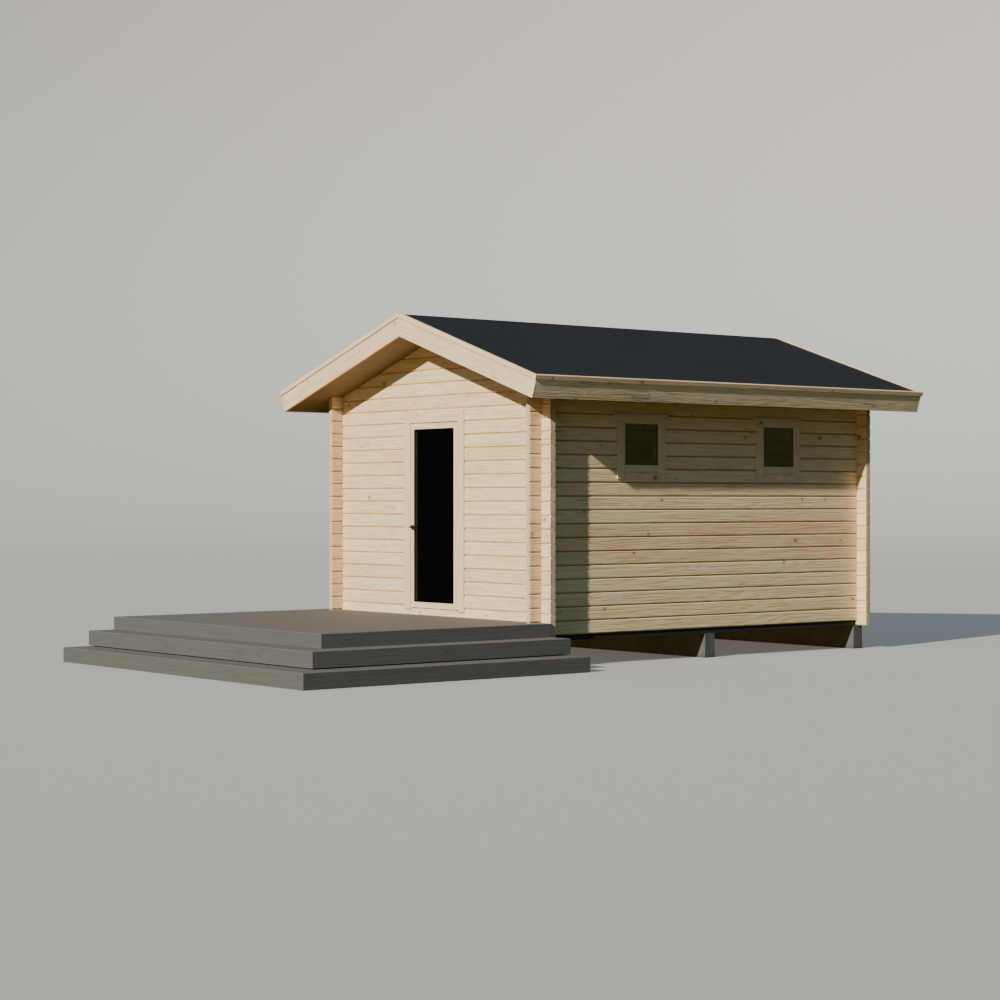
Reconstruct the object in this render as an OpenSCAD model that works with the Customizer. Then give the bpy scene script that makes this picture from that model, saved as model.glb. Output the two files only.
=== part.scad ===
// Log cabin with crossed corners, a felt gable roof and a stepped terrace.
// The origin is on the ground under the middle of the cabin.
// +X is the right-hand side, +Y runs from the door to the back wall, +Z is up. Millimetres.

/* [Logs] */
// Height of one planed log
log_h = 145; // [110:5:180]
// Thickness of one planed log
log_t = 70; // [45:5:120]
// Height of the chamfer along each edge of a log
groove_h = 13; // [4:1:20]
// Depth of the chamfer along each edge of a log
groove_d = 17; // [3:1:20]
// Length that the logs run on past the crossed corners
corner_out = 150; // [100:10:250]
// Height that the side logs sit above the front and back logs
course_shift = 58; // [40:2:80]
// Play left on each side of a corner notch
notch_play = 0.5; // [0.2:0.1:2]

/* [Cabin] */
// Width over the outer faces of the side walls
cabin_w = 3680; // [3000:20:5000]
// Length over the outer faces of the front and back walls
cabin_l = 4860; // [4000:20:7000]
// Height of the soffit under the ridge, above the ground
ridge_z = 3514; // [3300:10:4000]
// Slope of the roof in degrees
roof_pitch = 18.3; // [12:0.1:30]

/* [Foundation and floor] */
// Height of the concrete strips
strip_h = 270; // [200:10:400]
// Width of a concrete strip at its foot
strip_foot = 154; // [120:2:240]
// Width of a concrete strip at its top
strip_top = 146; // [100:2:200]
// Distance that the strips and bearers sit back from the side walls' faces
strip_back = 20; // [0:5:60]
// Width of a floor joist
joist_w = 48; // [36:1:75]
// Height of a floor joist
joist_h = 198; // [148:1:223]
// Number of floor joists
joist_count = 6; // [4:1:10]
// Thickness of the floor boards
floor_t = 28; // [18:1:40]

/* [Roof] */
// Overhang of the gable ends past the front and back walls
gable_out = 500; // [300:10:700]
// Horizontal overhang of the eaves past the side walls
eave_out = 432; // [250:2:600]
// Thickness of the ceiling and soffit boards
ceiling_t = 20; // [12:1:28]
// Depth of a rafter
rafter_h = 175; // [120:1:250]
// Width of a rafter
rafter_w = 48; // [36:1:75]
// Number of rafter pairs
rafter_count = 10; // [6:1:16]
// Thickness of the roof deck boards
deck_t = 28; // [18:1:30]
// Thickness of the roofing felt
felt_t = 8; // [4:1:12]
// Thickness of the barge boards and eave fascias
fascia_t = 28; // [18:1:45]
// Height of the trim battens along the roof's edges
trim_h = 48; // [30:1:70]
// Joint left between the roof's boards
seam = 0.1; // [0.1:0.1:1]
// Distance that the trim battens stand out past the boards below them
trim_out = 15; // [5:1:30]
// Width of the trim battens on the barge boards
barge_trim_w = 34; // [30:1:80]
// Width of the trim battens along the eaves
eave_trim_w = 45; // [44:1:90]

/* [Door] */
// Width of the door leaf
leaf_w = 854; // [700:2:1000]
// Height of the door leaf
leaf_h = 2040; // [1900:5:2200]
// Thickness of the door leaf
leaf_t = 58; // [40:1:70]
// Height of the door leaf's lower edge above the ground
leaf_z = 544; // [530:1:600]
// Running gap at each side of the door leaf
leaf_gap = 6.5; // [6:0.5:8]
// Running gap above and below the door leaf
rail_gap = 8; // [6:0.5:10]
// Gap for the seal between the closed leaf and its stop
seal_gap = 9; // [9:0.5:12]
// Bevel of the leaf's edge at the lever, over its thickness
leaf_bevel = 3.5; // [3:0.5:6]
// Chamfer on the leaf's outer upright edges
leaf_ease = 3; // [2:0.5:5]
// Width of the stiles and rails round the door's glass
stile_w = 73; // [60:1:120]
// Thickness of the door frame's jambs and head
jamb_t = 36; // [30:1:60]
// Width of the stop that the leaf closes against
stop_w = 15; // [10:1:20]
// Thickness of the glass in the door and the windows
glass_t = 6; // [4:1:12]
// Width of the rebate that holds a pane's edge
glass_edge = 10; // [6:1:14]
// Distance that the door's glass sits behind the leaf's outer face
glass_set = 3; // [1:0.5:10]
// Height of the lever's spindle above the leaf's lower edge
lever_up = 893; // [800:1:1100]
// Distance from the leaf's left edge to the lever's spindle
lever_in = 40; // [34:1:50]
// Length of the lever
lever_l = 125; // [100:1:150]
// Diameter of the pivot pins
pivot_d = 8; // [6:1:9]
// Outer diameter of the pivot sockets in the leaf
socket_d = 14; // [12:1:16]
// Depth of the pivot sockets in the leaf
socket_l = 24; // [18:1:40]
// Distance from the leaf's right edge to the pivots
pivot_in = 19; // [16:1:30]
// Distance from the leaf's outer face to the pivots' middle
pivot_back = 9.5; // [9:0.5:10]

/* [Casings and windows] */
// Width of the casing boards
casing_w = 104; // [80:2:120]
// Height of the door's top casing
door_head_h = 128; // [80:2:160]
// Thickness of the casing boards
casing_t = 18; // [12:1:25]
// Width of a window between its casings
window_w = 486; // [300:2:700]
// Height of a window between its casings
window_h = 442; // [300:2:500]
// Height of a window's lower edge above the ground
window_z = 2112; // [1400:2:2150]
// Distance of each window from the middle of the side wall
window_at = 1045; // [700:5:1400]
// Length that a window's top casing runs past the side casings
header_out = 45; // [0:5:80]
// Height of a window's bottom casing
apron_h = 78; // [50:2:110]
// Length that the side casings run down past the bottom casing
casing_drop = 72; // [0:2:120]
// Thickness of a window frame's jambs
window_jamb = 25; // [18:1:40]

/* [Terrace] */
// Depth of the top tier from the front wall
tier_depth = 2850; // [1200:10:3500]
// Going of each terrace step
tier_going = 305; // [250:5:400]
// Height of the lowest tier's top
tier_z1 = 158; // [120:1:180]
// Height of the middle tier's top
tier_z2 = 326; // [250:1:327]
// Height of the top tier's top
tier_z3 = 466; // [400:1:500]
// Distance that the terrace's left side stands out past the corner logs' ends
terrace_out_left = 35; // [5:5:300]
// Distance that the top tier's right side stands out past the corner logs' ends
terrace_out_right = 10; // [5:5:300]
// Thickness of the terrace's rim boards and joists
rim_t = 45; // [28:1:60]
// Thickness of the terrace's deck boards
board_t = 28; // [20:1:34]
// Shadow gap under the middle tier's rim
tier_gap = 10; // [0:1:15]

/* [Hidden] */
$fn = 48;

// Levels and faces of the cabin
half_w = cabin_w / 2;
half_l = cabin_l / 2;
front_y = -half_l;
terrace_left = half_w + corner_out + terrace_out_left;
terrace_right = half_w + corner_out + terrace_out_right;
bay_gap = 5;
bay_x = half_w + bay_gap;
bay_y = front_y - corner_out - bay_gap;
tier_joist_at = 600;
board_fit = 0.5;
front_base = strip_h;
side_base = strip_h + course_shift;
floor_z = strip_h + joist_h + floor_t;

// Corner notches: the share of each course that a front or back log keeps at a crossing
core_low = course_shift / 2;
core_high = core_low + log_h / 2;

// Roof layers, as distances square to the slope above the soffit's underside
rafter_o = ceiling_t;
deck_o = rafter_o + rafter_h;
felt_o = deck_o + deck_t;
trim_o = deck_o + 2;
trim_top_o = trim_o + trim_h;
slope_l = (half_w + eave_out) / cos(roof_pitch);
felt_edge = slope_l + trim_out - eave_trim_w - seam;
roof_y = half_l + gable_out;
barge_y = roof_y - trim_out;
inner_roof_y = barge_y - fascia_t;

// Door opening
opening_w = leaf_w + 2 * leaf_gap;
opening_low = leaf_z - rail_gap;
opening_high = leaf_z + leaf_h + rail_gap;
frame_half = opening_w / 2 + jamb_t;
frame_low = opening_low - jamb_t;
frame_high = opening_high + jamb_t;
fit = 1;
pane_gap = 0.5;
base_courses = ceil((opening_low - front_base) / log_h);
head_course = floor((opening_high - front_base) / log_h);
wall_courses = ceil((ridge_z - front_base) / log_h);
side_courses = ceil((soffit_z(half_w - log_t) - side_base) / log_h);
leaf_y = front_y - casing_t + 3;
pivot_x = leaf_w / 2 - pivot_in;
pivot_y = leaf_y + pivot_back;
pivot_plate_t = 4;
pivot_plate_w = 32;
lever_x = -leaf_w / 2 + lever_in;
lever_z = leaf_z + lever_up;
spindle_d = 10;
neck_d = 18;
neck_out = 50;
rosette_d = 50;
rosette_t = 8;

// Height of the soffit's underside at a distance x from the cabin's middle
function soffit_z(x) = ridge_z - abs(x) * tan(roof_pitch);

// Point on the right-hand slope: s down the slope from the ridge, o square to it
function slope_point(s, o) =
    [s * cos(roof_pitch) + o * sin(roof_pitch), ridge_z - s * sin(roof_pitch) + o * cos(roof_pitch)];

// Outline of n stacked logs, seen from their ends
function stack_outline(n) = concat(
    [for (k = [0:n - 1]) each [
        [groove_d, k * log_h],
        [0, k * log_h + groove_h],
        [0, (k + 1) * log_h - groove_h]
    ]],
    [[groove_d, n * log_h], [log_t - groove_d, n * log_h]],
    [for (k = [n - 1:-1:0]) each [
        [log_t, (k + 1) * log_h - groove_h],
        [log_t, k * log_h + groove_h],
        [log_t - groove_d, k * log_h]
    ]]
);

// Logs along X, with their outer face on y = 0
module logs_x(n, x0, x1) {
    translate([x0, 0, 0]) rotate([90, 0, 90])
        linear_extrude(height = x1 - x0) polygon(stack_outline(n));
}

// Logs along Y, with their left face on x = 0
module logs_y(n, y0, y1) {
    translate([0, y1, 0]) rotate([90, 0, 0])
        linear_extrude(height = y1 - y0) polygon(stack_outline(n));
}

// Everything below the soffit
module under_roof() {
    far = half_w + corner_out + 50;
    translate([0, roof_y, 0]) rotate([90, 0, 0]) linear_extrude(height = 2 * roof_y)
        polygon([[-far, 0], [far, 0], [far, soffit_z(far)], [0, ridge_z], [-far, soffit_z(far)]]);
}

// Saddle notches in the front or back wall for the side logs' cores
module front_notches(y0) {
    w = log_t + 2 * notch_play;
    for (side = [-1, 1], k = [0:wall_courses])
        translate([side * (half_w - log_t / 2) - w / 2, y0 - 1, front_base + k * log_h + core_high])
            cube([w, log_t + 2, log_h - core_high + core_low]);
}

// Saddle notches in a side wall for the front and back logs' cores
module side_notches(x0) {
    w = log_t + 2 * notch_play;
    for (side = [-1, 1], k = [0:side_courses])
        translate([x0 - 1, side * (half_l - log_t / 2) - w / 2, front_base + k * log_h + core_low])
            cube([log_t + 2, w, core_high - core_low]);
    for (side = [-1, 1])
        translate([x0 - 1, side * (half_l - log_t / 2) - w / 2, side_base - 1])
            cube([log_t + 2, w, front_base + core_high - side_base + 1]);
}

// Front or back wall over a range of courses
module cross_wall(y0, first, last, x0, x1) {
    difference() {
        intersection() {
            translate([0, y0, front_base + first * log_h]) logs_x(last - first, x0, x1);
            under_roof();
        }
        front_notches(y0);
    }
}

module side_wall(x0) {
    difference() {
        intersection() {
            translate([x0, 0, side_base]) logs_y(side_courses, -half_l - corner_out, half_l + corner_out);
            under_roof();
        }
        side_notches(x0);
    }
}

// The doorway's hole through the front logs
module door_cut() {
    translate([-frame_half - fit, front_y - 1, frame_low])
        cube([2 * (frame_half + fit), log_t + 2, frame_high + fit - frame_low]);
}

module front_wall_base() {
    color("burlywood") difference() {
        cross_wall(front_y, 0, base_courses, -half_w - corner_out, half_w + corner_out);
        door_cut();
    }
}

module front_wall_left() {
    color("burlywood")
        cross_wall(front_y, base_courses, head_course, -half_w - corner_out, -frame_half - fit);
}

module front_wall_right() {
    color("burlywood")
        cross_wall(front_y, base_courses, head_course, frame_half + fit, half_w + corner_out);
}

module front_wall_gable() {
    color("burlywood") difference() {
        cross_wall(front_y, head_course, wall_courses, -half_w - corner_out, half_w + corner_out);
        door_cut();
    }
}

module back_wall() {
    color("burlywood")
        cross_wall(half_l - log_t, 0, wall_courses, -half_w - corner_out, half_w + corner_out);
}

module side_wall_left() {
    color("burlywood") side_wall(-half_w);
}

// The window frame's outer size, with its play in the logs
module window_hole(y) {
    w = window_w + 2 * window_jamb;
    h = window_h + 2 * window_jamb;
    translate([half_w - log_t - 1, y - w / 2, window_z - window_jamb]) cube([log_t + 2, w, h]);
}

module side_wall_right() {
    color("burlywood") difference() {
        side_wall(half_w - log_t);
        for (side = [-1, 1]) window_hole(side * window_at);
    }
}

module foundation_strips() {
    len = cabin_w - 2 * strip_back;
    foot = strip_foot / 2;
    top = strip_top / 2;
    color("gray") for (y = [front_y + log_t / 2, 0, half_l - log_t / 2])
        translate([-len / 2, y, 0]) rotate([90, 0, 90]) linear_extrude(height = len)
            polygon([[-foot, 0], [foot, 0], [top, strip_h], [-top, strip_h]]);
}

module side_bearers() {
    w = log_t - strip_back;
    color("dimgray") for (side = [-1, 1])
        translate([side * (half_w - strip_back - w / 2) - w / 2, front_y + log_t + notch_play, strip_h])
            cube([w, cabin_l - 2 * log_t - 2 * notch_play, course_shift]);
}

module floor_joists() {
    span = cabin_w - 2 * log_t - joist_w - 2 * joist_w;
    color("tan") for (i = [0:joist_count - 1])
        translate([-span / 2 + i * span / (joist_count - 1) - joist_w / 2, front_y + log_t + fit, strip_h])
            cube([joist_w, cabin_l - 2 * log_t - 2 * fit, joist_h]);
}

module floor_boards() {
    color("wheat") translate([-half_w + log_t + fit, front_y + log_t + fit, strip_h + joist_h])
        cube([cabin_w - 2 * log_t - 2 * fit, cabin_l - 2 * log_t - 2 * fit, floor_t]);
}

// Layer of the right-hand slope between the offsets o0 and o1, down to s
module slope_layer(o0, o1, s, y0, y1) {
    lean = tan(roof_pitch);
    translate([0, y1, 0]) rotate([90, 0, 0]) linear_extrude(height = y1 - y0) polygon([
        slope_point(-o0 * lean, o0), slope_point(s, o0), slope_point(s, o1), slope_point(-o1 * lean, o1)
    ]);
}

// Batten along the eave between two places on the slope
module eave_strip(o0, o1, s0, s1, y0, y1) {
    translate([0, y1, 0]) rotate([90, 0, 0]) linear_extrude(height = y1 - y0) polygon([
        slope_point(s0, o0), slope_point(s1, o0), slope_point(s1, o1), slope_point(s0, o1)
    ]);
}

module ceiling_right() {
    color("peru") slope_layer(0, ceiling_t, slope_l - fascia_t - seam, -inner_roof_y, inner_roof_y);
}

module ceiling_left() {
    mirror([1, 0, 0]) ceiling_right();
}

module rafters() {
    first = -inner_roof_y + rafter_w / 2;
    pitch = (2 * inner_roof_y - rafter_w) / (rafter_count - 1);
    color("tan") for (i = [0:rafter_count - 1]) union() {
        for (side = [0, 1]) mirror([side, 0, 0])
            slope_layer(rafter_o, deck_o, slope_l - fascia_t - seam,
                first + i * pitch - rafter_w / 2, first + i * pitch + rafter_w / 2);
    }
}

module roof_deck() {
    color("tan") union() for (side = [0, 1]) mirror([side, 0, 0])
        slope_layer(deck_o, felt_o, felt_edge, -inner_roof_y, inner_roof_y);
}

module roof_felt() {
    y = roof_y - barge_trim_w;
    color("darkslategray") union() for (side = [0, 1]) mirror([side, 0, 0])
        slope_layer(felt_o, felt_o + felt_t, felt_edge, -y, y);
}

module barge_front_right() {
    color("wheat") slope_layer(0, trim_o - seam, slope_l, -barge_y, -inner_roof_y);
}

module barge_front_left() {
    mirror([1, 0, 0]) barge_front_right();
}

module barge_back_right() {
    mirror([0, 1, 0]) barge_front_right();
}

module barge_back_left() {
    mirror([1, 0, 0]) barge_back_right();
}

module barge_trim_front() {
    color("wheat") union() for (side = [0, 1]) mirror([side, 0, 0])
        slope_layer(trim_o, trim_top_o, slope_l + trim_out, -roof_y, -roof_y + barge_trim_w);
}

module barge_trim_back() {
    mirror([0, 1, 0]) barge_trim_front();
}

module fascia_right() {
    color("wheat") eave_strip(0, trim_o - seam, slope_l - fascia_t, slope_l, -inner_roof_y, inner_roof_y);
}

module fascia_left() {
    mirror([1, 0, 0]) fascia_right();
}

module eave_trims() {
    y = roof_y - barge_trim_w;
    color("wheat") for (side = [0, 1]) mirror([side, 0, 0])
        eave_strip(trim_o, trim_top_o, slope_l + trim_out - eave_trim_w, slope_l + trim_out, -y, y);
}

module door_frame() {
    stop_y = leaf_y + leaf_t + seal_gap;
    color("wheat") difference() {
        translate([-frame_half, front_y, frame_low]) cube([2 * frame_half, log_t, frame_high - frame_low]);
        translate([-opening_w / 2, front_y - 1, opening_low])
            cube([opening_w, stop_y - front_y + 1, opening_high - opening_low]);
        translate([-opening_w / 2 + stop_w, front_y, opening_low + stop_w])
            cube([opening_w - 2 * stop_w, log_t + 1, opening_high - opening_low - 2 * stop_w]);
    }
}

module door_casing_sides() {
    low = opening_low - jamb_t / 3;
    color("wheat") for (side = [-1, 1])
        translate([side * (opening_w / 2 + casing_w / 2) - casing_w / 2, front_y - casing_t, low])
            cube([casing_w, casing_t, opening_high - low]);
}

module door_casing_head() {
    w = opening_w + 2 * casing_w;
    color("wheat") translate([-w / 2, front_y - casing_t, opening_high]) cube([w, casing_t, door_head_h]);
}

module door_leaf() {
    e = glass_edge;
    color("wheat") difference() {
        translate([-leaf_w / 2, leaf_y, leaf_z]) linear_extrude(height = leaf_h)
            polygon([
                [leaf_ease, 0], [leaf_w - leaf_ease, 0], [leaf_w, leaf_ease],
                [leaf_w, leaf_t], [leaf_bevel, leaf_t], [0, leaf_ease]
            ]);
        translate([-leaf_w / 2 + stile_w, leaf_y - 1, leaf_z + stile_w])
            cube([leaf_w - 2 * stile_w, leaf_t + 2, leaf_h - 2 * stile_w]);
        translate([-leaf_w / 2 + stile_w - e, leaf_y - 1, leaf_z + stile_w - e])
            cube([leaf_w - 2 * (stile_w - e), glass_set + glass_t + 1, leaf_h - 2 * (stile_w - e)]);
        translate([lever_x, leaf_y - 1, lever_z]) rotate([-90, 0, 0])
            cylinder(d = spindle_d + 2, h = leaf_t + 2);
        at_pivots() translate([0, 0, rail_gap - 1]) cylinder(d = socket_d + 2 * seam, h = socket_l + 1);
    }
}

module door_glass() {
    e = glass_edge - pane_gap;
    color("lightblue") translate([-leaf_w / 2 + stile_w - e, leaf_y + glass_set, leaf_z + stile_w - e])
        cube([leaf_w - 2 * stile_w + 2 * e, glass_t, leaf_h - 2 * stile_w + 2 * e]);
}

module door_rosettes() {
    color("black") for (y = [leaf_y - rosette_t, leaf_y + leaf_t])
        translate([lever_x, y, lever_z]) rotate([-90, 0, 0]) difference() {
            cylinder(d = rosette_d, h = rosette_t);
            translate([0, 0, -1]) cylinder(d = neck_d + 1, h = rosette_t + 2);
        }
}

module door_lever() {
    color("black") translate([lever_x, 0, lever_z]) union() {
        for (end = [0, 1]) {
            y_base = end == 0 ? leaf_y - neck_out : leaf_y + leaf_t + 1;
            translate([0, y_base, 0]) rotate([-90, 0, 0]) cylinder(d = neck_d, h = neck_out - 1);
            y_arm = end == 0 ? leaf_y - neck_out : leaf_y + leaf_t + neck_out;
            translate([0, y_arm, 0]) rotate([0, 90, 0]) cylinder(d = neck_d, h = lever_l);
            translate([0, y_arm, 0]) sphere(d = neck_d);
            translate([lever_l, y_arm, 0]) sphere(d = neck_d);
        }
        translate([0, leaf_y - 2, 0]) rotate([-90, 0, 0]) cylinder(d = spindle_d, h = leaf_t + 4);
    }
}

// The two pivots: the lower one on the sill, and the upper one upside down under the head
module at_pivots() {
    translate([pivot_x, pivot_y, opening_low]) children();
    translate([pivot_x, pivot_y, opening_high]) mirror([0, 0, 1]) children();
}

module door_pivots() {
    color("black") at_pivots() union() {
        translate([-pivot_plate_w / 2, -pivot_back, 0]) cube([pivot_plate_w, pivot_plate_w, pivot_plate_t]);
        cylinder(d = pivot_d, h = rail_gap + socket_l - 4);
    }
}

module door_pivot_sockets() {
    color("silver") at_pivots() translate([0, 0, rail_gap]) difference() {
        cylinder(d = socket_d, h = socket_l);
        translate([0, 0, -1]) cylinder(d = pivot_d + 0.1, h = socket_l + 2);
    }
}

// One window's frame: jambs round the opening, rebated outside for the pane
module window_frame(y) {
    w = window_w + 2 * window_jamb;
    h = window_h + 2 * window_jamb;
    e = glass_edge;
    color("wheat") difference() {
        translate([half_w - log_t, y - w / 2 + fit / 2, window_z - window_jamb + fit / 2])
            cube([log_t, w - fit, h - fit]);
        translate([half_w - log_t - 1, y - window_w / 2, window_z]) cube([log_t + 2, window_w, window_h]);
        translate([half_w - glass_t, y - window_w / 2 - e, window_z - e])
            cube([glass_t + 1, window_w + 2 * e, window_h + 2 * e]);
    }
}

module window_frames() {
    for (side = [-1, 1]) window_frame(side * window_at);
}

module window_glass() {
    e = glass_edge - pane_gap;
    color("lightblue") for (side = [-1, 1])
        translate([half_w - glass_t, side * window_at - window_w / 2 - e, window_z - e])
            cube([glass_t, window_w + 2 * e, window_h + 2 * e]);
}

module window_casing_heads() {
    w = window_w + 2 * casing_w + 2 * header_out;
    color("wheat") for (side = [-1, 1])
        translate([half_w, side * window_at - w / 2, window_z + window_h]) cube([casing_t, w, casing_w]);
}

module window_casing_sides() {
    low = window_z - apron_h - casing_drop;
    color("wheat") for (side = [-1, 1], edge = [-1, 1])
        translate([half_w, side * window_at + edge * (window_w + casing_w) / 2 - casing_w / 2, low])
            cube([casing_t, casing_w, window_z + window_h - low]);
}

module window_casing_aprons() {
    color("wheat") for (side = [-1, 1])
        translate([half_w, side * window_at - window_w / 2, window_z - apron_h])
            cube([casing_t, window_w, apron_h]);
}

// Plan of a tier's outline, drawn in by d, with a bay round the front wall's foot
function tier_plan(step, d) = [
    [-terrace_left + d, front_y - d],
    [-terrace_left + d, front_y - tier_depth - step * tier_going + d],
    [terrace_right + step * tier_going - d, front_y - tier_depth - step * tier_going + d],
    [terrace_right + step * tier_going - d, front_y - d],
    [bay_x + d, front_y - d],
    [bay_x + d, bay_y - d],
    [-bay_x - d, bay_y - d],
    [-bay_x - d, front_y - d]
];

// Joists of a tier between its front rim and the bay
module tier_joists(step, z0, z1) {
    x0 = -terrace_left + rim_t;
    x1 = terrace_right + step * tier_going - rim_t;
    n = round((x1 - x0) / tier_joist_at);
    y0 = front_y - tier_depth - step * tier_going + rim_t / 2;
    y1 = bay_y - rim_t / 2;
    for (i = [1:n - 1])
        translate([x0 + i * (x1 - x0) / n - rim_t / 2, y0, z0]) cube([rim_t, y1 - y0, z1 - z0]);
}

module tier_frame(step, z0, z_rim, z1) {
    union() {
        translate([0, 0, z_rim]) linear_extrude(height = z1 - z_rim) difference() {
            polygon(tier_plan(step, 0));
            polygon(tier_plan(step, rim_t));
        }
        tier_joists(step, z0, z1 - board_t);
    }
}

module tier_boards(step, z1) {
    translate([0, 0, z1 - board_t]) linear_extrude(height = board_t)
        polygon(tier_plan(step, rim_t + board_fit));
}

module terrace_frame_low() {
    color("gray") tier_frame(2, 0, 0, tier_z1);
}

module terrace_boards_low() {
    color("gray") tier_boards(2, tier_z1);
}

module terrace_frame_middle() {
    color("gray") tier_frame(1, tier_z1, tier_z1 + tier_gap, tier_z2);
}

module terrace_boards_middle() {
    color("gray") tier_boards(1, tier_z2);
}

// Holes in the top tier for the side logs' ends
module log_end_bays() {
    for (side = [-1, 1])
        translate([side * (half_w - log_t / 2) - log_t / 2 - bay_gap, bay_y, tier_z2 - 1])
            cube([log_t + 2 * bay_gap, front_y - bay_y + 1, tier_z3 - tier_z2 + 2]);
}

module terrace_frame_top() {
    x0 = -terrace_left;
    x1 = terrace_right;
    y0 = front_y - tier_depth;
    n = round((x1 - x0) / tier_joist_at);
    color("gray") difference() {
        union() {
            difference() {
                translate([x0, y0, tier_z2]) cube([x1 - x0, tier_depth, tier_z3 - tier_z2]);
                translate([x0 + rim_t, y0 + rim_t, tier_z2 - 1])
                    cube([x1 - x0 - 2 * rim_t, tier_depth - 2 * rim_t, tier_z3 - tier_z2 + 2]);
            }
            for (i = [1:n - 1]) translate([x0 + i * (x1 - x0) / n - rim_t / 2, y0 + rim_t / 2, tier_z2])
                cube([rim_t, tier_depth - rim_t, tier_z3 - board_t - tier_z2]);
        }
        log_end_bays();
    }
}

module terrace_boards_top() {
    d = rim_t + board_fit;
    color("gray") difference() {
        translate([-terrace_left + d, front_y - tier_depth + d, tier_z3 - board_t])
            cube([terrace_left + terrace_right - 2 * d, tier_depth - 2 * d, board_t]);
        log_end_bays();
    }
}

foundation_strips();
side_bearers();
floor_joists();
floor_boards();
front_wall_base();
front_wall_left();
front_wall_right();
front_wall_gable();
back_wall();
side_wall_left();
side_wall_right();
door_frame();
door_casing_sides();
door_casing_head();
door_leaf();
door_glass();
door_rosettes();
door_lever();
door_pivots();
door_pivot_sockets();
window_frames();
window_glass();
window_casing_heads();
window_casing_sides();
window_casing_aprons();
ceiling_left();
ceiling_right();
rafters();
roof_deck();
roof_felt();
barge_front_left();
barge_front_right();
barge_back_left();
barge_back_right();
barge_trim_front();
barge_trim_back();
fascia_left();
fascia_right();
eave_trims();
terrace_frame_low();
terrace_boards_low();
terrace_frame_middle();
terrace_boards_middle();
terrace_frame_top();
terrace_boards_top();
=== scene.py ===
"""Looks of the log cabin: the finish of each piece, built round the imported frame. Metres, +Z up."""

import math

import bmesh
import bpy
from mathutils import Matrix, Vector


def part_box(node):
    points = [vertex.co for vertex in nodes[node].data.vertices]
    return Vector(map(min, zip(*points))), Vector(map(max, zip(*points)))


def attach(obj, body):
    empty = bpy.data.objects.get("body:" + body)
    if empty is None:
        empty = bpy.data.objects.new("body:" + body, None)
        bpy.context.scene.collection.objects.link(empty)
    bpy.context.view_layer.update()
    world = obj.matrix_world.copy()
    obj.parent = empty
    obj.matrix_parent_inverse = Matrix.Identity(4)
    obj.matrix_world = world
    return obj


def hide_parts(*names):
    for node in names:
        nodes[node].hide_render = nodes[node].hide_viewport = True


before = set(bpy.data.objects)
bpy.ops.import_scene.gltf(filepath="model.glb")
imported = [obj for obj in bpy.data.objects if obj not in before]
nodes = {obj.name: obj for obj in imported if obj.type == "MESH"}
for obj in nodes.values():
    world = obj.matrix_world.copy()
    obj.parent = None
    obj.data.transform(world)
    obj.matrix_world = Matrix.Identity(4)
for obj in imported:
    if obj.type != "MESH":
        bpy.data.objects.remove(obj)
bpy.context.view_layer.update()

# Camera: a long lens at eye height, off the cabin's front right corner. It is level, so that
# every upright edge stays upright.
camera = bpy.data.objects.new("camera", bpy.data.cameras.new("camera"))
bpy.context.scene.collection.objects.link(camera)
bpy.context.scene.camera = camera
camera.data.lens = 80.04
camera.data.sensor_width = 36
camera.data.clip_end = 400
camera.location = (19.541, -17.117, 1.737)
camera.rotation_euler = (math.radians(90), 0, math.radians(51.387))


# Studio: a pale floor that runs up into a round backdrop, so that no edge shows behind the
# cabin. It is a plain matt sweep, made by turning its profile once round.
def feed(tree, socket, value):
    """Links a value to a socket, or sets it there."""
    if isinstance(value, bpy.types.NodeSocket):
        tree.links.new(value, socket)
    elif value is not None:
        socket.default_value = value


def lead(tree, sockets, **values):
    """Leads values to the sockets that have their names."""
    for name, value in values.items():
        feed(tree, sockets[name.replace("_", " ")], value)


def shade(tree, kind, *values, **settings):
    """A shader node with its settings, and its first inputs set or linked in order."""
    made = tree.nodes.new("ShaderNode" + kind)
    for name, value in settings.items():
        setattr(made, name, value)
    for socket, value in zip(made.inputs, values):
        feed(tree, socket, value)
    return made


def calc(tree, operation, *values):
    """The result of a Math node."""
    return shade(tree, "Math", *values, operation=operation).outputs[0]


def times(tree, a, b):
    """The product of two values."""
    return calc(tree, "MULTIPLY", a, b)


def ramp(tree, value, low, high, to_low=0.0, to_high=1.0):
    """A value eased from one span to another, and held at its ends."""
    spans = low, high, to_low, to_high
    return shade(tree, "MapRange", value, *spans, interpolation_type="SMOOTHSTEP").outputs[0]


def mix(tree, factor, a, b):
    """Two colours blended."""
    made = shade(tree, "Mix", data_type="RGBA", clamp_factor=True)
    for index, value in ((0, factor), (6, a), (7, b)):
        feed(tree, made.inputs[index], value)
    return made.outputs[2]


def finish(name, **constants):
    """A material with one Principled shader, and its constants on the shader's own sockets."""
    material = bpy.data.materials.new(name)
    material.use_nodes = True
    tree = material.node_tree
    tree.nodes.clear()
    surface = shade(tree, "BsdfPrincipled")
    shade(tree, "OutputMaterial", surface.outputs[0])
    lead(tree, surface.inputs, **constants)
    return material, tree, surface


def spun_round(bm, chain, steps):
    """Joins a chain of points by edges, and turns them once round Z."""
    edges = [bm.edges.new(pair) for pair in zip(chain, chain[1:])]
    bmesh.ops.spin(
        bm,
        geom=chain + edges,
        cent=(0, 0, 0),
        axis=(0, 0, 1),
        angle=math.radians(360),
        steps=steps,
        use_merge=True,
    )


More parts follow.
